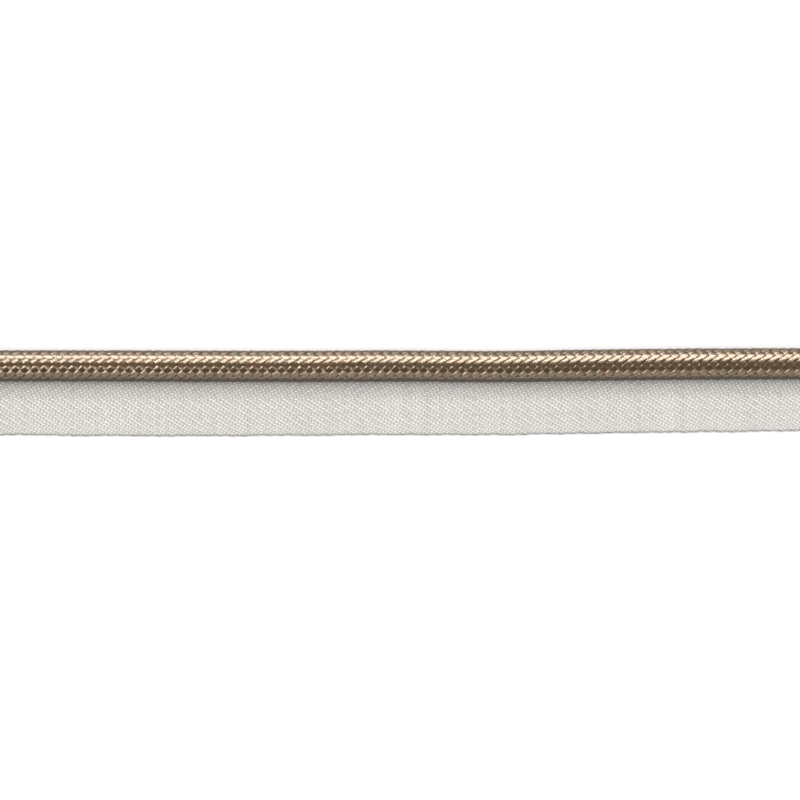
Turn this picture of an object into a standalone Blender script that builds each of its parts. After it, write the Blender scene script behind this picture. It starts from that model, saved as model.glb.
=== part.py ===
"""Cut length of braided lip cord: a round braided cord lying on the edge of a flat woven tape.

The frame has +X along the cord, +Y from the tape's outer edge towards the cord, and +Z up. The
origin is the bottom centre of the whole part's box. Lengths are in metres.
"""

from collections import namedtuple
from math import cos, pi, radians, sin

import bmesh
import bpy
from mathutils import Matrix, Vector

MM = 0.001

# Driving dimensions
LENGTH = 180 * MM
CORD_DIAMETER = 6.3 * MM
TAPE_THICKNESS = 1.0 * MM
TAPE_PAST_CORD_LINE = 1.1 * MM
SEAT_GAP = 0.3 * MM

# The braid: stitches along the piece, and rows of stitches around the cord
STITCHES = 95
ROWS = 20
ROW_ANGLE = 2 * pi / ROWS
FIRST_ROW = radians(16)
STITCH_HEIGHT = 0.22 * MM

# The tape's cross-section: its selvedges are rounded off by this much
SELVEDGE_ROUNDING = 0.25 * MM
TAPE_STATION_STEP = 5 * MM

# How the piece lies, in millimetres: the place along it, the cord's middle line across it, and
# the tape's outer edge across it. The cord drifts a little and the tape narrows to one end.
Station = namedtuple("Station", "along cord_line tape_edge")
STATIONS = (
    Station(along=-90, cord_line=6.83, tape_edge=-6.93),
    Station(along=-80, cord_line=6.81, tape_edge=-7.00),
    Station(along=-60, cord_line=6.81, tape_edge=-7.20),
    Station(along=-40, cord_line=6.75, tape_edge=-7.16),
    Station(along=-20, cord_line=6.73, tape_edge=-7.12),
    Station(along=0, cord_line=6.79, tape_edge=-6.96),
    Station(along=20, cord_line=6.69, tape_edge=-6.98),
    Station(along=40, cord_line=6.97, tape_edge=-6.66),
    Station(along=60, cord_line=7.17, tape_edge=-6.42),
    Station(along=80, cord_line=7.23, tape_edge=-6.22),
    Station(along=90, cord_line=7.25, tape_edge=-6.13),
)

CORD_COLOUR = (0.27, 0.19, 0.115)
TAPE_COLOUR = (0.68, 0.65, 0.62)


def clear_scene():
    for old in list(bpy.data.objects):
        bpy.data.objects.remove(old, do_unlink=True)


def slope_at(index, column):
    """Slope of the course at a station, from the stations on either side of it."""
    before = STATIONS[max(index - 1, 0)]
    after = STATIONS[min(index + 1, len(STATIONS) - 1)]
    rise = getattr(after, column) - getattr(before, column)
    return rise / (after.along - before.along)


def course(along, column):
    """Smooth cubic through the stations' values of one column, in metres."""
    place = along / MM
    index = 0
    while index < len(STATIONS) - 2 and STATIONS[index + 1].along < place:
        index += 1
    start, end = STATIONS[index], STATIONS[index + 1]
    span = end.along - start.along
    t = min(max((place - start.along) / span, 0.0), 1.0)
    value = (2 * t**3 - 3 * t**2 + 1) * getattr(start, column)
    value += (t**3 - 2 * t**2 + t) * span * slope_at(index, column)
    value += (3 * t**2 - 2 * t**3) * getattr(end, column)
    value += (t**3 - t**2) * span * slope_at(index + 1, column)
    return value * MM


def material(name, colour, roughness):
    made = bpy.data.materials.new(name)
    made.use_nodes = True
    shader = made.node_tree.nodes["Principled BSDF"]
    shader.inputs["Base Color"].default_value = (*colour, 1.0)
    shader.inputs["Roughness"].default_value = roughness
    shader.inputs["Metallic"].default_value = 0.0
    return made


def loft(name, rings, leans_back, finish):
    """Closed solid through equal rings of points. Each four-sided field between two rings is
    split along the diagonal that leans_back gives for its ring and its place in the ring."""
    shape = bmesh.new()
    rows = [[shape.verts.new(point) for point in ring] for ring in rings]
    around = len(rows[0])
    for step, (row, next_row) in enumerate(zip(rows, rows[1:])):
        for here in range(around):
            there = (here + 1) % around
            if leans_back(step, here):
                shape.faces.new((row[here], row[there], next_row[here]))
                shape.faces.new((row[there], next_row[there], next_row[here]))
            else:
                shape.faces.new((row[here], row[there], next_row[there]))
                shape.faces.new((row[here], next_row[there], next_row[here]))
    shape.faces.new(list(reversed(rows[0])))
    shape.faces.new(rows[-1])
    bmesh.ops.recalc_face_normals(shape, faces=shape.faces)
    mesh = bpy.data.meshes.new(name)
    shape.to_mesh(mesh)
    shape.free()
    piece = bpy.data.objects.new(name, mesh)
    piece.data.materials.append(finish)
    bpy.context.collection.objects.link(piece)
    return piece


def cord_ring(step):
    """One ring of the cord, half a stitch on from the last. Its points are in turn the crest of
    a stitch and the hollow between two, and the next ring has them the other way round."""
    along = -LENGTH / 2 + step * LENGTH / (2 * STITCHES)
    middle_y = course(along, "cord_line")
    crest_radius = CORD_DIAMETER / 2
    middle_z = TAPE_THICKNESS + SEAT_GAP + crest_radius
    points = []
    for row in range(ROWS):
        angle = FIRST_ROW + row * ROW_ANGLE
        hollow = (step + row) % 2
        radius = crest_radius - STITCH_HEIGHT * hollow
        points.append(Vector((along, middle_y - radius * sin(angle), middle_z + radius * cos(angle))))
    return points


def braided_cord():
    """The cord, with a raised stitch wherever one yarn crosses over another: 20 rows of them lie
    along it, each row half a stitch on from its neighbours, and grooves run from hollow to
    hollow between them."""
    rings = [cord_ring(step) for step in range(2 * STITCHES + 1)]
    finish = material("satin_tan_yarn", CORD_COLOUR, 0.42)
    piece = loft("braided_cord", rings, lambda step, row: (step + row) % 2 == 0, finish)
    piece.data.shade_smooth()
    piece.data.set_sharp_from_angle(angle=radians(50))
    return piece


def tape_ring(along):
    """Cross-section of the tape: a flat strip with its two long edges rounded off."""
    outer = course(along, "tape_edge")
    inner = course(along, "cord_line") + TAPE_PAST_CORD_LINE
    cut, top = SELVEDGE_ROUNDING, TAPE_THICKNESS
    outline = (
        (outer + cut, 0),
        (inner - cut, 0),
        (inner, cut),
        (inner, top - cut),
        (inner - cut, top),
        (outer + cut, top),
        (outer, top - cut),
        (outer, cut),
    )
    return [Vector((along, across, height)) for across, height in outline]


def lip_tape():
    """The flat tape whose inner edge lies under the cord."""
    steps = round(LENGTH / TAPE_STATION_STEP)
    rings = [tape_ring(-LENGTH / 2 + step * LENGTH / steps) for step in range(steps + 1)]
    finish = material("off_white_tape", TAPE_COLOUR, 0.85)
    return loft("lip_tape", rings, lambda step, place: False, finish)


def centre_on_origin(pieces):
    """Moves every piece by the same amount, so that the origin is their box's bottom centre."""
    points = [vert.co for piece in pieces for vert in piece.data.vertices]
    low = Vector([min(point[axis] for point in points) for axis in range(3)])
    high = Vector([max(point[axis] for point in points) for axis in range(3)])
    middle = (low + high) / 2
    shift = Matrix.Translation((-middle.x, -middle.y, -low.z))
    for piece in pieces:
        piece.data.transform(shift)


clear_scene()
centre_on_origin([braided_cord(), lip_tape()])
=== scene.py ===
"""Looks of a cut length of braided lip cord: 20 satin yarns, 10 each way, plain braided round a
core, on the edge of an off-white herringbone tape. Lengths are in metres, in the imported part's
frame: +X along the cord, +Y from the tape's outer edge towards the cord, +Z up.
"""

from collections import namedtuple
from math import pi, radians

import bpy
import numpy as np
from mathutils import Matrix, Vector


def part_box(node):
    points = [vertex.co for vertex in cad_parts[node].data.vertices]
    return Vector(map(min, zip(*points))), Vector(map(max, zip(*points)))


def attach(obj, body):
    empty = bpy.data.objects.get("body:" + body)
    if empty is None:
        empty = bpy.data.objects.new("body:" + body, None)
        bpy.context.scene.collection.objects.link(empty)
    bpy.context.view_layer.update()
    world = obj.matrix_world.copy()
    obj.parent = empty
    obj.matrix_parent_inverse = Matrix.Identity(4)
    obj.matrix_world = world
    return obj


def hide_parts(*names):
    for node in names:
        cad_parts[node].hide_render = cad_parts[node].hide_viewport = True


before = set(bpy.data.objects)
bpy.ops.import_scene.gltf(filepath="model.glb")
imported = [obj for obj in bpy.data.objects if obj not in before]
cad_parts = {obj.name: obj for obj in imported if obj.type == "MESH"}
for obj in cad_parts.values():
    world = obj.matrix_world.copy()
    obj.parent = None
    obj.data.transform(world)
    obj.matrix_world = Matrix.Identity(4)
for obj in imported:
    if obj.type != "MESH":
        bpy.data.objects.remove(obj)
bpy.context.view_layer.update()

MM = 0.001
SEED = 24

# How the piece lies, in millimetres: the place along it, the cord's middle line across it, and
# the tape's outer edge across it
Station = namedtuple("Station", "along cord_line tape_edge")
STATIONS = (
    Station(along=-90, cord_line=6.83, tape_edge=-6.93),
    Station(along=-80, cord_line=6.81, tape_edge=-7.00),
    Station(along=-60, cord_line=6.81, tape_edge=-7.20),
    Station(along=-40, cord_line=6.75, tape_edge=-7.16),
    Station(along=-20, cord_line=6.73, tape_edge=-7.12),
    Station(along=0, cord_line=6.79, tape_edge=-6.96),
    Station(along=20, cord_line=6.69, tape_edge=-6.98),
    Station(along=40, cord_line=6.97, tape_edge=-6.66),
    Station(along=60, cord_line=7.17, tape_edge=-6.42),
    Station(along=80, cord_line=7.23, tape_edge=-6.22),
    Station(along=90, cord_line=7.25, tape_edge=-6.13),
)
CAD_STATION_STEP = 5 * MM

# The cord, and the yarns that go round it in each direction
CORD_RADIUS = 3.15 * MM
INSIDE_RADIUS = CORD_RADIUS - 0.75 * MM
INSIDE_MARGIN = 1.0 * MM
STITCHES = 95
CARRIERS = 10
STITCH_TURN = 2 * pi / CARRIERS
FIRST_CROSSING = radians(16)
FRAY = 0.3 * MM

# The two leans of yarn: the share of their pitch that they fill, how deep their middle swings,
# how high the crown stands over it, how far the tops pass the cord's radius, and how flat and
# how one-sided the wave of the swing is
Lean = namedtuple("Lean", "fill depth crown top squareness skew")
FORWARD = Lean(fill=0.95, depth=0.08 * MM, crown=0.10 * MM, top=0.02 * MM, squareness=3.3, skew=0.1)
BACK = Lean(fill=0.96, depth=0.02 * MM, crown=0.09 * MM, top=-0.01 * MM, squareness=1.3, skew=0.0)

# A yarn's cross-section
YARN_BELLY = 0.12 * MM
PLIES = 4
PLY_DEPTH = 0.15
RINGS_PER_STITCH = 8
CROWN_POINTS, BELLY_POINTS = 17, 4
EDGE_CROWDING = 0.86

# How a yarn strays from an even course: by how much, and the length over which that changes.
# The shift is a share of half its pitch, the swell one of its crown's height, and the turn of
# its plies is in radians. The tones are shares of the whole range.
Stray = namedtuple("Stray", "amount spacing")
SHIFT = Stray(amount=0.05, spacing=3.1 * MM)
SWELL = Stray(amount=0.10, spacing=2.3 * MM)
ROLL = Stray(amount=0.045 * MM, spacing=1.9 * MM)
PLY_TURN = Stray(amount=1.1, spacing=5.0 * MM)
LIFT = Stray(amount=0.025 * MM, spacing=2.7 * MM)
YARN_TONE = Stray(amount=0.3, spacing=2.6 * MM)
PLY_TONE = Stray(amount=0.2, spacing=4.0 * MM)

# Painted shade on the yarns: their colour darkens this far below the cord's radius, as shade in
# the crevices, and beside the tape, as shade under the cord, where the cosine of the angle from the
# cord's top falls to the first number, over a fade of the second, with the third share left
CREVICE_SHADE_DEPTH = 0.5 * MM
UNDERSIDE_SHADE_START, UNDERSIDE_SHADE_FADE, UNDERSIDE_SHADE_LEAST = 0.55, 0.25, 0.05

# The sine times the cosine of the yarns' lean, which is near 45 degrees
LEAN_SHEAR = 0.5

# The core's strands: how many lie in each ring round the middle one, their size as shares of
# the cord's inside, and for the rings of each strand's end, in millimetres, how far they lie
# behind its tip, with their share of its width
CORE_RINGS = ((1, 6), (2, 12))
RINGS_TO_INSIDE = 2.5
STRAND_FILL = 0.52
STRAND_BACK_LEAST, STRAND_BACK_MOST = 0.05, 0.3
StrandRing = namedtuple("StrandRing", "back share")
STRAND_RINGS = (
    StrandRing(back=2.0, share=1.0),
    StrandRing(back=0.22, share=1.0),
    StrandRing(back=0.07, share=0.75),
    StrandRing(back=0.0, share=0.3),
)

# The tape: its width under the cord, the pitch of its picks and warp ends, the finer ends of
# its selvedge, and the ends counted from its outer edge
TAPE_PAST_CORD_LINE = 1.1 * MM
PICK = 0.612 * MM
END = 0.388 * MM
EDGE_END = 0.29 * MM
EDGE_ENDS = 7
ENDS_TO_REVERSAL = 20
VISIBLE_ENDS = 31
STEPS_TO_A_YARN = 3

# The relief of the cloth's face in metres, and as shares of it the middle height of its yarns,
# their swing and roundness, and how far the warp stands over the weft
CLOTH_RELIEF = 0.16 * MM
YARN_MIDDLE, YARN_ROUNDNESS = 0.30, 0.20
WARP_SWING, WEFT_SWING = 0.25, 0.20
WARP_LEAD = 0.1

# The painted highlight on a yarn of the cloth where it lies over the others: its reach in yarns
# along and aside, and its tone. Then the painted shade between the highlights, the slant of the
# warp's highlights, and how much yarns and single points differ.
Highlight = namedtuple("Highlight", "along aside tone")
WARP_HIGHLIGHT = Highlight(along=0.62, aside=0.40, tone=1.0)
WEFT_HIGHLIGHT = Highlight(along=0.42, aside=0.85, tone=0.72)
SHADE_BETWEEN_HIGHLIGHTS = 0.08
WARP_SLANT = 0.12
YARN_SPREAD, POINT_SPREAD = 0.09, 0.08

# The selvedge: the loops' depth, their roundness and their own middle, how uneven they are, the
# drift of the edge, and how far in from the edge each of these reaches
LOOP_DEPTH, LOOP_ROUNDNESS, LOOP_MIDDLE = 0.14 * MM, 0.7, 0.7
PICKS_TO_A_LOOP = 4
LOOP_UNEVEN = Stray(amount=0.9, spacing=1.7 * MM)
EDGE_DRIFT = Stray(amount=0.09 * MM, spacing=2.4 * MM)
LOOP_REACH = 1.2 * MM
RIM_REACH, RIM_DROP = 0.55 * MM, 0.5 * MM
# Painted shade on the selvedge's rounded rim: the share of the tone left at the edge, and how far in
# it reaches
RIM_SHADE, RIM_SHADE_REACH = 0.35, 0.5 * MM

# The sides of the tape that the cord and the floor hide, with their tones, which are painted shade,
# darkest on the outer edge's side
HIDDEN_STEPS, HIDDEN_FACE_SHADE = 4, 0.4
UNDER_STEPS, TAPE_UNDER_SHADE = 10, 0.5
EDGE_INSET = 0.2 * MM
INNER_HEIGHTS, INNER_SIDE_SHADE = (0.7 * MM, 0.25 * MM), 0.4
OUTER_HEIGHTS, OUTER_SIDE_SHADE = (0.15 * MM, 0.4 * MM), 0.1
OUTER_INSET = 0.03 * MM
CUT_SPREAD = 0.12 * MM

# The rise of the tape towards the cord
CREST_FROM_LINE = 3.0 * MM
CREST_RISE = 0.3 * MM
CREST_RUN = 3.0 * MM
CORD_CLEARANCE, CREST_CLEARANCE = 0.1 * MM, 0.05 * MM

# The seam: its middle and its reach from there, out from the cord's middle line and up
SEAM_MIDDLE = (2.1 * MM, 1.9 * MM)
SEAM_REACH = (0.85 * MM, 0.95 * MM)
SEAM_RADIUS = 0.2 * MM
SEAM_MARGIN = 0.3 * MM
SEAM_TURNS_TO_A_STITCH = 2
SEAM_SWAY = 0.25
POINTS_TO_A_TURN, SEAM_SIDES = 14, 8

# The softboxes that only the yarn's gloss picks up, and the lamp that lights the rest
Softbox = namedtuple("Softbox", "name direction size radiance")
SOFTBOXES = (
    Softbox(name="side_light", direction=(0.17, 0.785, 0.595), size=(0.54, 0.54), radiance=27.0),
    Softbox(name="low_light", direction=(0, -0.985, 0.17), size=(0.9, 0.16), radiance=9.0),
    Softbox(name="left_light", direction=(-0.70, 0, 0.71), size=(0.42, 0.42), radiance=52.0),
    Softbox(name="right_light", direction=(0.94, 0, 0.34), size=(0.9, 0.5), radiance=0.8),
    Softbox(name="back_light", direction=(-0.43, 0.89, 0.13), size=(0.5, 0.3), radiance=26.0),
)
SOFTBOX_DISTANCE = 1.0
OVERHEAD = Softbox(name="overhead_light", direction=(0, 0.18, 1), size=(16.8, 16.8), radiance=3.9)
OVERHEAD_DISTANCE = 14.4
FLOOR_HALF = 40.0
FLOOR_DROP = 0.05 * MM
AIR_LIGHT, AIR_SEEN = 0.03, 1.0

CAMERA_LENS = 200.0
SENSOR = 36.0
PICTURE_WIDTH = 160 * MM


def slopes(column):
    """Slope of one column at every station, from the stations on either side of it."""
    along = np.array([s.along for s in STATIONS], float)
    value = np.array([getattr(s, column) for s in STATIONS], float)
    before = np.maximum(np.arange(len(along)) - 1, 0)
    after = np.minimum(np.arange(len(along)) + 1, len(along) - 1)
    return (value[after] - value[before]) / (along[after] - along[before])


def course(x, column):
    """Cubic through the stations: each span blends its two end values and its two end slopes by
    the four usual cubic weights of t, the share of the span that lies behind."""
    along = np.array([s.along for s in STATIONS], float)
    value = np.array([getattr(s, column) for s in STATIONS], float)
    slope = slopes(column)
    place = np.asarray(x, float) / MM
    i = np.clip(np.searchsorted(along, place) - 1, 0, len(along) - 2)
    span = along[i + 1] - along[i]
    t = np.clip((place - along[i]) / span, 0, 1)
    found = (2 * t**3 - 3 * t**2 + 1) * value[i] + (t**3 - 2 * t**2 + t) * span * slope[i]
    found = found + (3 * t**2 - 2 * t**3) * value[i + 1] + (t**3 - t**2) * span * slope[i + 1]
    return found * MM


CORD_LOW, CORD_HIGH = (np.array(corner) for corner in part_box("braided_cord"))
TAPE_LOW, TAPE_HIGH = (np.array(corner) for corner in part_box("lip_tape"))
X_LOW, X_HIGH = CORD_LOW[0], CORD_HIGH[0]
LENGTH = X_HIGH - X_LOW
STITCH = LENGTH / STITCHES
CORD_MIDDLE_Z = (CORD_LOW[2] + CORD_HIGH[2]) / 2
CAD_STATIONS = np.linspace(X_LOW, X_HIGH, round(LENGTH / CAD_STATION_STEP) + 1)
ACROSS_SHIFT = TAPE_LOW[1] - course(CAD_STATIONS, "tape_edge").min()
TAPE_TOP = TAPE_HIGH[2]


def cord_line(x):
    return course(x, "cord_line") + ACROSS_SHIFT


def tape_edge(x):
    return course(x, "tape_edge") + ACROSS_SHIFT


def around_cord(x, radius, angle):
    """Points round the cord's middle line. The angle is 0 on top and grows towards the tape."""
    across = cord_line(x) - radius * np.sin(angle)
    return np.stack((x, across, CORD_MIDDLE_Z + radius * np.cos(angle)), axis=-1)


def wander(x, stray, chance, rows=1):
    """Smooth noise along x, up to the stray's amount either way, a row for each yarn: random
    values at even knots, joined by a cosine blend."""
    knots = int(np.ceil(LENGTH / stray.spacing)) + 3
    value = chance.uniform(-1, 1, (rows, knots))
    place = (x - X_LOW) / stray.spacing + 0.5
    i = np.clip(place.astype(int), 0, knots - 2)
    t = (1 - np.cos(pi * (place - i))) / 2
    return stray.amount * (value[:, i] * (1 - t) + value[:, i + 1] * t)


def face_corners(grid):
    """A grid's values at the four corners of each face between two rings."""
    beside = np.roll(grid, -1, axis=2)
    return np.stack((grid[:, :-1], beside[:, :-1], beside[:, 1:], grid[:, 1:]), axis=-1).reshape(-1, 4)


def ring_mesh(name, points, marks, finish, sharp=50, along=None):
    """Closed tubes from a grid of points: points[tube, ring, place round the ring]. Each four
    neighbours make a face, and a face closes each end. marks holds numbers for each point by the
    name of their attribute. The map "yarn" runs round the ring in U and along the tube in V. The
    gloss reads its directions, so along gives V where U has to run square to slanting fibres,
    and otherwise V is the ring's own place along the piece. Both count in stitches."""
    tubes, rings, around, _ = points.shape
    index = np.arange(tubes * rings * around).reshape(tubes, rings, around)
    quads = face_corners(index)
    ends = np.concatenate((index[:, 0, ::-1], index[:, -1, :]))
    if along is None:
        along = points[..., 0].mean(axis=2, keepdims=True) / STITCH
    v = face_corners(np.broadcast_to(along, (tubes, rings, around)))
    left, right = np.arange(around) / around, np.arange(around) / around + 1 / around
    u = np.stack((left, right, right, left), axis=-1)
    u = np.broadcast_to(u, (tubes, rings - 1, around, 4)).reshape(-1, 4)
    chart_corners = np.stack((u, v), axis=-1)

    # The faces turn outwards when the volume that they enclose is positive
    a, b, c = (points.reshape(-1, 3)[quads[:, k]] for k in (0, 1, 2))
    if (a * np.cross(b, c)).sum() < 0:
        quads, ends, chart_corners = quads[:, ::-1], ends[:, ::-1], chart_corners[:, ::-1]

    loops = np.concatenate((quads.ravel(), ends.ravel())).astype(np.int32)
    sizes = np.concatenate((np.full(len(quads), 4), np.full(len(ends), around))).astype(np.int32)
    starts = np.concatenate(((0,), np.cumsum(sizes)[:-1])).astype(np.int32)
    mesh = bpy.data.meshes.new(name)
    mesh.vertices.add(points.size // 3)
    mesh.vertices.foreach_set("co", points.astype(np.float32).ravel())
    mesh.loops.add(len(loops))
    mesh.loops.foreach_set("vertex_index", loops)
    mesh.polygons.add(len(sizes))
    mesh.polygons.foreach_set("loop_start", starts)
    mesh.polygons.foreach_set("loop_total", sizes)
    chart = np.concatenate((chart_corners.reshape(-1, 2), np.zeros((ends.size, 2))))
    mesh.uv_layers.new(name="yarn").data.foreach_set("uv", chart.astype(np.float32).ravel())
    for word, values in marks.items():
        values = np.broadcast_to(values, points.shape[:3]).astype(np.float32)
        mesh.attributes.new(word, "FLOAT", "POINT").data.foreach_set("value", values.ravel())
    mesh.polygons.foreach_set("use_smooth", np.ones(len(sizes), bool))
    mesh.update(calc_edges=True)
    mesh.validate()
    mesh.set_sharp_from_angle(angle=radians(sharp))
    mesh.materials.append(finish)
    piece = bpy.data.objects.new(name, mesh)
    bpy.context.collection.objects.link(piece)
    return piece


def yarn_profile():
    """Places across a yarn from -1 to 1 over its crown and back under its belly, and which of
    them lie on the crown."""
    quarter = pi / 2 * EDGE_CROWDING
    over = np.sin(np.linspace(-pi / 2, pi / 2, CROWN_POINTS) * EDGE_CROWDING) / np.sin(quarter)
    under = np.linspace(1, -1, BELLY_POINTS + 2)[1:-1]
    crown = np.concatenate((np.ones(CROWN_POINTS, bool), np.zeros(BELLY_POINTS, bool)))
    return np.concatenate((over, under)), crown


def swing(phase, lean):
    """The wave of a yarn's swing: a cosine with crests at even phases, made one-sided by a share
    of itself added to its angle, and then broadened at crests and hollows by a hyperbolic
    tangent."""
    wave = np.cos(pi * phase + lean.skew * np.cos(pi * phase))
    return np.tanh(lean.squareness * wave) / np.tanh(lean.squareness * np.max(wave))


def yarn_marks(x, radius, angle, across, chance, rows):
    """Numbers for each point of the yarns. Height is 1 at the cord's full radius and 0 at the
    depth of the crevices, and it fades where the yarns turn under the cord beside the tape; the
    material paints it as shade, darker in the crevices and under the cord. The shade mark is a
    tone that wanders at random along each yarn and along each of its plies."""
    # Painted shade: depth below the cord's radius and the underside beside the tape both lower height,
    # which darkens the colour
    height = np.clip(1 - (CORD_RADIUS - radius) / CREVICE_SHADE_DEPTH, 0, 1)
    underside_shade = np.clip((np.cos(angle) - UNDERSIDE_SHADE_START) / UNDERSIDE_SHADE_FADE, UNDERSIDE_SHADE_LEAST, 1)
    height = height * np.where(np.sin(angle) > 0, underside_shade, 1)
    ply = np.clip(np.floor((across + 1) / 2 * PLIES), 0, PLIES - 1).astype(int)
    shade = 0.5 + wander(x, YARN_TONE, chance, rows)[:, :, None]
    plies = np.stack([wander(x, PLY_TONE, chance, rows) for _ in range(PLIES)], -1)
    return {"height": height, "shade": shade + plies[:, :, ply]}


def braid_yarns(name, forward, numbers, chance, finish):
    """The yarns of one lean. A yarn's middle goes round the cord by one tenth of a turn for each
    stitch along it, and its radius swings by a wave two crossings long, so that it lies over one
    yarn of the other lean and then under one. The wave is read at each point's own place among
    the yarns of the other lean, so that the ends of a float are cut along them. The map is
    sheared by the yarn's lean, so that U runs square to its fibres."""
    lean = FORWARD if forward else BACK
    way = 1 if forward else -1
    numbers = np.array(numbers, float)[:, None, None]
    rows = numbers.size
    x = np.linspace(X_LOW, X_HIGH, STITCHES * RINGS_PER_STITCH + 1)
    across, crown = yarn_profile()
    shift, swell, roll, ply_turn, lift = (
        wander(x, stray, chance, rows)[:, :, None] for stray in (SHIFT, SWELL, ROLL, PLY_TURN, LIFT)
    )
    stitches_on = ((x - X_LOW) / STITCH)[None, :, None] - numbers
    aside = STITCH_TURN / 2 * (lean.fill * across[None, None, :] + shift)
    angle = way * STITCH_TURN * stitches_on + FIRST_CROSSING + aside
    phase = way * 2 * stitches_on + aside / STITCH_TURN + (0 if forward else 1)

    plies = 1 - PLY_DEPTH * (1 - np.abs(np.cos(PLIES * pi / 2 * across[None, None, :] + ply_turn)))
    edge = np.maximum(1 - np.abs(across) ** 4, 0) ** 0.5
    crown_height = lean.crown * edge * plies * (1 + swell)
    belly_height = -YARN_BELLY * np.maximum(1 - across**2, 0) ** 0.5
    height = np.where(crown[None, None, :], crown_height, belly_height)
    middle = CORD_RADIUS + lean.top - lean.depth - lean.crown
    radius = middle + lean.depth * swing(phase, lean) + height + roll * across[None, None, :] + lift

    xs = np.broadcast_to(x[None, :, None], radius.shape).copy()
    xs[:, 0] += chance.uniform(0, FRAY, rows)[:, None]
    xs[:, -1] -= chance.uniform(0, FRAY, rows)[:, None]
    points = around_cord(xs, radius, angle)
    marks = yarn_marks(x, radius, angle, across, chance, rows)
    lead = way * LEAN_SHEAR * CORD_RADIUS * STITCH_TURN / 2 * lean.fill * across
    return ring_mesh(name, points, marks, finish, along=(x[None, :, None] + lead) / STITCH)


def cord_inside(finish):
    """The inside of the cord between its cut ends: a round bar that the yarns hide. It takes the
    darkest colour of the yarns' painted shade, so the gaps between yarns look shaded.
    """
    x = np.linspace(X_LOW + INSIDE_MARGIN, X_HIGH - INSIDE_MARGIN, 181)[None, :, None]
    angle = (np.arange(32) * 2 * pi / 32)[None, None, :]
    xs, angle = np.broadcast_arrays(x, angle)
    # Height 0 paints the bar in the darkest painted shade of the yarns
    return ring_mesh(
        "cord_inside", around_cord(xs, INSIDE_RADIUS, angle), {"height": 0.0, "shade": 0.5}, finish
    )


def core_strands(chance, finish):
    """The strands of the core, seen at the two cut ends: one in the middle, six round it and
    twelve round those, each a tube that closes in a low dome."""
    spacing = INSIDE_RADIUS / RINGS_TO_INSIDE
    centres = [(0.0, 0.0)]
    for ring, count in CORE_RINGS:
        for k in range(count):
            turn = 2 * pi * k / count
            centres.append((ring * spacing * np.cos(turn), ring * spacing * np.sin(turn)))
    centres = np.array(centres)
    turn = np.arange(12) * pi / 6
    back = np.array([ring.back for ring in STRAND_RINGS]) * MM
    share = np.array([ring.share for ring in STRAND_RINGS])
    reach = (STRAND_FILL * spacing * share)[None, :, None]
    across = centres[:, 0, None, None] + reach * np.cos(turn)
    up = centres[:, 1, None, None] + reach * np.sin(turn)
    tubes = []
    for low in (True, False):
        uneven = chance.uniform(STRAND_BACK_LEAST, STRAND_BACK_MOST, (len(centres), 1)) * MM
        depth = back[None, :] + uneven
        x = X_LOW + depth if low else X_HIGH - depth
        xs = np.broadcast_to(x[:, :, None], across.shape)
        tubes.append(np.stack((xs, cord_line(xs) + across, CORD_MIDDLE_Z + up), axis=-1))
    points = np.concatenate((tubes[0], tubes[1][:, ::-1]))
    return ring_mesh("core_strands", points, {"height": 0.45}, finish)


def place_of_end(end):
    """Distance from the tape's outer edge of a place counted in warp ends: the ends of the
    selvedge are finer than the others."""
    return np.minimum(end, EDGE_ENDS) * EDGE_END + np.maximum(end - EDGE_ENDS, 0) * END


def painted_highlight(along, aside, highlight, difference):
    """Painted highlight on a yarn of the cloth: a tone that falls off as a bell curve from the middle
    of a float, where its crown catches the light.
    """
    bell = np.exp(-(along / highlight.along) ** 2 - (aside / highlight.aside) ** 2)
    return (highlight.tone + difference) * bell


def cloth_relief(pick, end, chance):
    """Height of the cloth's face and its tone, both from 0 to 1, at a place counted in picks
    along and warp ends across. The tone is painted light: a painted highlight on the middle of
    each float and painted shade between them. Every warp end goes over two picks and under two,
    one pick on from its neighbour, in one direction up to the reversal and in the other beyond
    it. Each yarn's middle follows the cosine of a quarter turn a pick, its top is rounded, and
    the higher of the two yarns shows."""
    whole_end, whole_pick = np.floor(end), np.floor(pick)
    outside = whole_end < ENDS_TO_REVERSAL
    lean = np.where(outside, -1.0, 1.0)
    first = np.where(outside, 0.0, -2.0 * ENDS_TO_REVERSAL)
    warp_place = pick - (first + lean * whole_end) - 1
    weft_middle = np.where(outside, 3 + first - whole_pick, whole_pick - first - 2)
    warp_wave = np.cos(pi / 2 * warp_place)
    weft_wave = np.cos(pi / 2 * (end - weft_middle))
    warp_along = (warp_place + 2) % 4 - 2
    warp_aside = end - whole_end - 0.5 + WARP_SLANT * warp_along
    weft_along = pick - whole_pick - 0.5
    weft_aside = (end - weft_middle + 2) % 4 - 2
    thick_end = chance.normal(0, YARN_SPREAD, int(end.max()) + 2)[whole_end.astype(int)]
    thick_pick = chance.normal(0, YARN_SPREAD, int(pick.max()) + 2)[whole_pick.astype(int)]
    uneven = chance.normal(0, POINT_SPREAD, (pick.shape[0], end.shape[-1]))
    warp_round = YARN_ROUNDNESS * np.cos(pi * np.clip(warp_aside, -0.5, 0.5))
    warp = YARN_MIDDLE + WARP_SWING * warp_wave + warp_round + WARP_LEAD
    weft = YARN_MIDDLE + WEFT_SWING * weft_wave + YARN_ROUNDNESS * np.cos(pi * weft_along)
    height = np.clip(np.maximum(warp, weft) + uneven, 0, 1)
    # Painted highlights on the middles of the floats, with painted shade between them
    warp_highlight = painted_highlight(warp_along, warp_aside, WARP_HIGHLIGHT, thick_end)
    weft_highlight = painted_highlight(weft_along, weft_aside, WEFT_HIGHLIGHT, thick_pick)
    tone = np.maximum(warp_highlight, weft_highlight)
    return height, np.clip(SHADE_BETWEEN_HIGHLIGHTS + (1 - SHADE_BETWEEN_HIGHLIGHTS) * tone + uneven, 0, 1)


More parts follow.
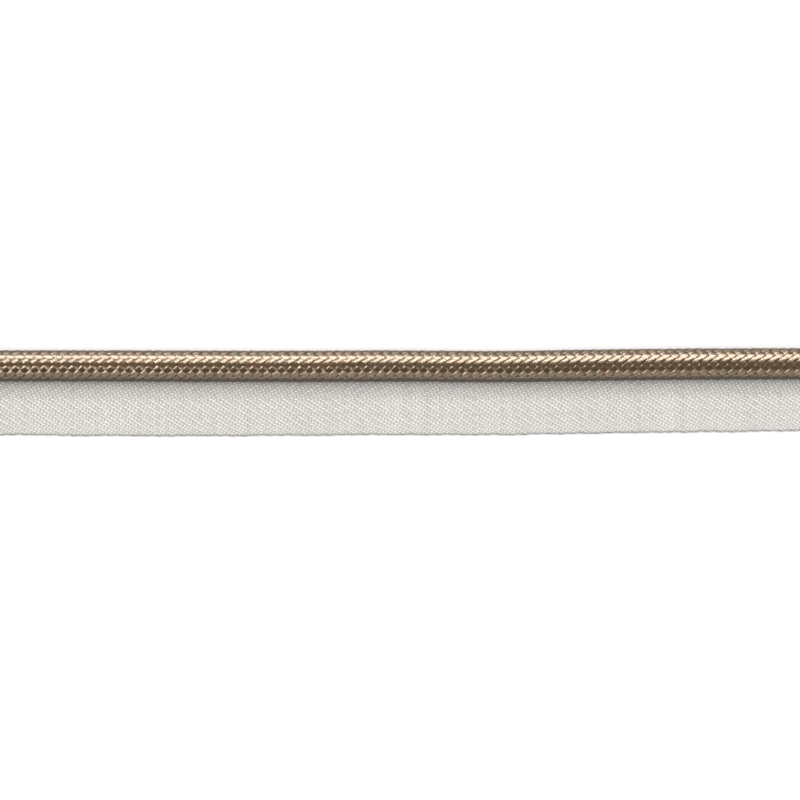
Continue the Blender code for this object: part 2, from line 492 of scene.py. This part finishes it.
def crest(from_line):
    """How far the tape rises on its way to the cord: a smooth ramp up to the seam in the cord's
    flank, and from there inwards close under the cord."""
    t = np.clip((from_line - CREST_FROM_LINE) / CREST_RUN, 0, 1)
    ramp = CREST_RISE * (1 - t * t * (3 - 2 * t))
    near = np.clip(np.abs(from_line), 0, CREST_FROM_LINE)
    under_cord = CORD_MIDDLE_Z - np.sqrt((CORD_RADIUS + CORD_CLEARANCE) ** 2 - near**2) - TAPE_TOP
    return np.minimum(ramp, np.maximum(under_cord - CREST_CLEARANCE, 0))


def selvedge_loops(x, pick, chance):
    """How far the loops of weft reach out past the tape's edge line, or stay behind it: one
    rounded loop to four picks, of uneven depth, on an edge that drifts a little."""
    loops = LOOP_DEPTH * (np.abs(np.cos(pi / PICKS_TO_A_LOOP * pick)) ** LOOP_ROUNDNESS - LOOP_MIDDLE)
    loops = loops * (1 + wander(x[:, 0], LOOP_UNEVEN, chance)[0][:, None])
    return loops + wander(x[:, 0], EDGE_DRIFT, chance)[0][:, None]


def tape_cloth(chance, finish):
    """The tape as one closed solid: rings round its cross-section, carried along it. A ring runs
    over the face, in three steps to a warp end where it shows, and back along the underside."""
    columns = STEPS_TO_A_YARN * round(LENGTH / PICK)
    x = np.linspace(X_LOW, X_HIGH, columns + 1)[:, None]
    end = ((np.arange(STEPS_TO_A_YARN * VISIBLE_ENDS) + 0.5) / STEPS_TO_A_YARN)[None, :]
    outer = tape_edge(x)
    inner = cord_line(x) + TAPE_PAST_CORD_LINE
    width = inner - outer
    shown = np.broadcast_to(place_of_end(end), (len(x), end.size))
    last = shown[:, -1:]
    share = np.linspace(0, 1, HIDDEN_STEPS + 2)[1:-1][None, :]
    out = np.concatenate((shown, last + share * (width - last - EDGE_INSET)), axis=1)
    pick = (x - X_LOW) / PICK
    # Painted shade on the face where it runs under the cord
    hidden = np.full((len(x), HIDDEN_STEPS), HIDDEN_FACE_SHADE)
    relief, tone = (np.concatenate((face, hidden), axis=1) for face in cloth_relief(pick, end, chance))
    loops = selvedge_loops(x, pick, chance)

    rim = np.clip(out / RIM_REACH, 0, 1)
    rim_drop = RIM_DROP * (1 - np.sqrt(1 - (1 - rim) ** 2))
    face_y = outer + out - loops * np.clip(1 - out / LOOP_REACH, 0, 1)
    face_z = TAPE_TOP - CLOTH_RELIEF * (1 - relief) - rim_drop
    inner_y = np.concatenate((inner, inner), axis=1)
    under_share = np.linspace(1, 0, UNDER_STEPS)[None, :]
    under_y = outer + EDGE_INSET + under_share * (width - 2 * EDGE_INSET)
    outer_y = np.concatenate((outer - loops + OUTER_INSET, outer - loops), axis=1)
    sides = (inner_y, under_y, outer_y)
    heights = (INNER_HEIGHTS, (0.0,) * UNDER_STEPS, OUTER_HEIGHTS)
    ys = np.concatenate((face_y, *sides), axis=1)
    side_z = [np.broadcast_to(np.array([row]), side.shape) for row, side in zip(heights, sides)]
    zs = np.concatenate((face_z, *side_z), axis=1) + crest(cord_line(x) - ys)
    xs = np.broadcast_to(x, ys.shape).copy()
    cut = CUT_SPREAD * np.abs(chance.normal(0, 1, (2, ys.shape[1] // STEPS_TO_A_YARN + 1)))
    cut = cut.repeat(STEPS_TO_A_YARN, axis=1)[:, :ys.shape[1]]
    xs[0] += cut[0]
    xs[-1] -= cut[1]

    # Painted light on the face: the cloth's painted highlights and shade, darkened towards the outer
    # edge as painted shade on the rim
    painted_face_light = tone * np.clip(RIM_SHADE + out / RIM_SHADE_REACH, 0, 1)
    # Painted shade on the tape's sides
    tones = (INNER_SIDE_SHADE, TAPE_UNDER_SHADE, OUTER_SIDE_SHADE)
    side_tones = [np.full(side.shape, value) for side, value in zip(sides, tones)]
    # The mark named height carries painted light: highlights and shade on the face, shade on the sides
    marks = {"height": np.concatenate((painted_face_light, *side_tones), axis=1)[None]}
    return ring_mesh("tape_cloth", np.stack((xs, ys, zs), axis=-1)[None], marks, finish, sharp=80)


def seam_thread(finish):
    """The thread that sews the cord to the tape: an oval helix along the foot of the cord, two
    turns to a stitch. Each turn comes out of the cord's flank, dips into the tape and goes back
    up inside the cord."""
    turns = SEAM_TURNS_TO_A_STITCH * STITCHES
    t = np.linspace(0, turns, turns * POINTS_TO_A_TURN + 1)
    x = X_LOW + SEAM_MARGIN + (LENGTH - 2 * SEAM_MARGIN) * t / turns
    from_line = SEAM_MIDDLE[0] + SEAM_REACH[0] * np.cos(2 * pi * t)
    height = SEAM_MIDDLE[1] + SEAM_REACH[1] * np.sin(2 * pi * t)
    sway = SEAM_SWAY * STITCH * np.sin(2 * pi * t)
    middle = np.stack((x + sway, cord_line(x) - from_line, height), axis=-1)
    ahead = np.gradient(middle, axis=0)
    ahead /= np.linalg.norm(ahead, axis=1, keepdims=True)
    out = np.stack((np.zeros_like(t), -np.cos(2 * pi * t), np.sin(2 * pi * t)), axis=-1)
    side = np.cross(ahead, out)
    side /= np.linalg.norm(side, axis=1, keepdims=True)
    up = np.cross(side, ahead)
    turn = np.arange(SEAM_SIDES)[None, :, None] * pi / (SEAM_SIDES / 2)
    ring = middle[:, None] + SEAM_RADIUS * (np.cos(turn) * side[:, None] + np.sin(turn) * up[:, None])
    # Height 0.3 gives the thread part of the yarns' painted shade, as it sits in the crevice at the
    # cord's foot
    return ring_mesh("seam_thread", ring[None], {"height": 0.3, "shade": 0.4}, finish)


def plain_material(name, colour, roughness):
    made = bpy.data.materials.new(name)
    made.use_nodes = True
    shader = made.node_tree.nodes["Principled BSDF"]
    shader.inputs["Base Color"].default_value = (*colour, 1)
    shader.inputs["Roughness"].default_value = roughness
    return made, made.node_tree, shader


def link(tree, source, socket, target, into):
    tree.links.new(source.outputs[socket], target.inputs[into])


def mark_ramp(tree, word, low, high, full_at=1.0):
    """A colour that goes from low to high as a mesh's attribute goes from 0 to full_at."""
    mark = tree.nodes.new("ShaderNodeAttribute")
    mark.attribute_name = word
    ramp = tree.nodes.new("ShaderNodeValToRGB")
    first, last = ramp.color_ramp.elements
    first.position = 0.0
    first.color = (*low, 1)
    last.position = full_at
    last.color = (*high, 1)
    link(tree, mark, "Fac", ramp, "Fac")
    return ramp


def fibre_streaks(tree, across, along, strength, distance):
    """Bump of fine fibres that run along a yarn: noise drawn out along V of the yarn map."""
    chart = tree.nodes.new("ShaderNodeUVMap")
    chart.uv_map = "yarn"
    stretch = tree.nodes.new("ShaderNodeMapping")
    stretch.inputs["Scale"].default_value = (across, along, 1)
    noise = tree.nodes.new("ShaderNodeTexNoise")
    noise.inputs["Scale"].default_value = 1.0
    noise.inputs["Detail"].default_value = 2.0
    bump = tree.nodes.new("ShaderNodeBump")
    bump.inputs["Strength"].default_value = strength
    bump.inputs["Distance"].default_value = distance
    link(tree, chart, "UV", stretch, "Vector")
    link(tree, stretch, "Vector", noise, "Vector")
    link(tree, noise, "Fac", bump, "Height")
    return bump


def satin_yarn():
    """Filament yarn: dark brown in itself, with a bright gloss that the fibres stretch across the
    yarn. Its colour carries painted shade, darker in the crevices and where it turns under the
    cord, and its plies differ a little in tone."""
    made, tree, shader = plain_material("satin_yarn", (0.08, 0.05, 0.024), 0.36)
    shader.inputs["Metallic"].default_value = 0.35
    shader.inputs["Specular IOR Level"].default_value = 1.0
    shader.inputs["Specular Tint"].default_value = (1.0, 0.97, 0.88, 1)
    shader.inputs["Anisotropic"].default_value = 0.9
    # Painted shade: the height mark darkens the colour in the crevices and under the cord
    depth = mark_ramp(tree, "height", (0.028, 0.016, 0.008), (0.098, 0.060, 0.0285), full_at=0.4)
    tones = mark_ramp(tree, "shade", (0.80, 0.90, 0.74), (1.24, 1.04, 1.10))
    mix = tree.nodes.new("ShaderNodeMix")
    mix.data_type = "RGBA"
    mix.blend_type = "MULTIPLY"
    mix.inputs["Factor"].default_value = 1.0
    link(tree, depth, "Color", mix, "A")
    link(tree, tones, "Color", mix, "B")
    link(tree, mix, "Result", shader, "Base Color")
    tangent = tree.nodes.new("ShaderNodeTangent")
    tangent.direction_type = "UV_MAP"
    tangent.uv_map = "yarn"
    link(tree, tangent, "Tangent", shader, "Tangent")
    bump = fibre_streaks(tree, across=60.0, along=1.2, strength=0.35, distance=0.02 * MM)
    link(tree, bump, "Normal", shader, "Normal")
    return made


def cotton_tape():
    """Matt cotton, with a painted highlight on the crowns of its yarns and painted shade between them.
    """
    made, tree, shader = plain_material("cotton_tape", (0.66, 0.635, 0.605), 0.9)
    shader.inputs["Specular IOR Level"].default_value = 0.3
    # The height mark paints the tape's highlights and shade into its colour
    tones = mark_ramp(tree, "height", (0.31, 0.29, 0.265), (0.93, 0.905, 0.87), full_at=0.9)
    link(tree, tones, "Color", shader, "Base Color")
    return made


def soft_light(box, distance):
    """A rectangular lamp that faces the object from a direction. Its power is pi times its area
    times its radiance, and the camera doesn't see it."""
    data = bpy.data.lights.new(box.name, "AREA")
    data.shape = "RECTANGLE"
    data.size, data.size_y = box.size
    data.energy = pi * box.size[0] * box.size[1] * box.radiance
    lamp = bpy.data.objects.new(box.name, data)
    bpy.context.collection.objects.link(lamp)
    towards = Vector(box.direction).normalized()
    lamp.location = towards * distance
    lamp.rotation_euler = towards.to_track_quat("Z", "Y").to_euler()
    lamp.visible_camera = False
    return lamp


def paper_floor():
    """A wide white floor, a hair below the tape."""
    corners = [(x * FLOOR_HALF, y * FLOOR_HALF, 0) for x, y in ((-1, -1), (1, -1), (1, 1), (-1, 1))]
    floor_mesh = bpy.data.meshes.new("floor")
    floor_mesh.from_pydata(corners, [], [(0, 1, 2, 3)])
    floor = bpy.data.objects.new("floor", floor_mesh)
    bpy.context.collection.objects.link(floor)
    paper, _, shader = plain_material("paper", (0.96, 0.96, 0.96), 1.0)
    shader.inputs["Specular IOR Level"].default_value = 0.0
    floor.data.materials.append(paper)
    floor.location.z = -FLOOR_DROP


def studio_air():
    """Air that the camera sees as white, and that lights the object very little."""
    world = bpy.data.worlds.new("studio_air")
    bpy.context.scene.world = world
    world.use_nodes = True
    tree = world.node_tree
    sky = tree.nodes["Background"]
    sky.inputs["Color"].default_value = (1, 1, 1, 1)
    seen = tree.nodes.new("ShaderNodeLightPath")
    strength = tree.nodes.new("ShaderNodeMapRange")
    strength.inputs["To Min"].default_value = AIR_LIGHT
    strength.inputs["To Max"].default_value = AIR_SEEN
    link(tree, seen, "Is Camera Ray", strength, "Value")
    link(tree, strength, "Result", sky, "Strength")


def studio():
    """A white floor under one wide soft lamp that the gloss doesn't see, and softboxes that only
    the gloss sees: one beside the cord, one low across the tape, one past each end and one
    behind on the left."""
    paper_floor()
    studio_air()
    soft_light(OVERHEAD, OVERHEAD_DISTANCE).visible_glossy = False
    for box in SOFTBOXES:
        soft_light(box, SOFTBOX_DISTANCE).visible_diffuse = False
    view = bpy.context.scene.view_settings
    view.view_transform = "Standard"
    view.look = "None"


def camera():
    """A long lens straight above the middle of the piece."""
    data = bpy.data.cameras.new("camera")
    data.lens = CAMERA_LENS
    data.sensor_width = SENSOR
    eye = bpy.data.objects.new("camera", data)
    bpy.context.collection.objects.link(eye)
    distance = PICTURE_WIDTH * CAMERA_LENS / SENSOR
    eye.location = (0, ACROSS_SHIFT, CORD_MIDDLE_Z + distance)
    eye.rotation_euler = (0, 0, 0)
    bpy.context.scene.camera = eye


def build():
    camera()
    studio()
    satin = satin_yarn()
    cotton = cotton_tape()
    chance = np.random.default_rng(SEED)
    yarns = []
    for word, forward in (("forward", True), ("back", False)):
        for half in (0, 1):
            numbers = range(half * CARRIERS // 2, (half + 1) * CARRIERS // 2)
            yarns.append(braid_yarns(f"braid_{word}_{half + 1}", forward, numbers, chance, satin))
    yarns.append(cord_inside(satin))
    core = core_strands(chance, cotton)
    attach(core, "root")
    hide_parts("braided_cord")
    for piece in yarns:
        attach(piece, "root")
        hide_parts("braided_cord")
    seam = seam_thread(satin)
    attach(seam, "root")
    tape = tape_cloth(chance, cotton)
    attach(tape, "root")
    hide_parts("lip_tape")
    width = float(cord_line(0) + TAPE_PAST_CORD_LINE - tape_edge(0))


build()
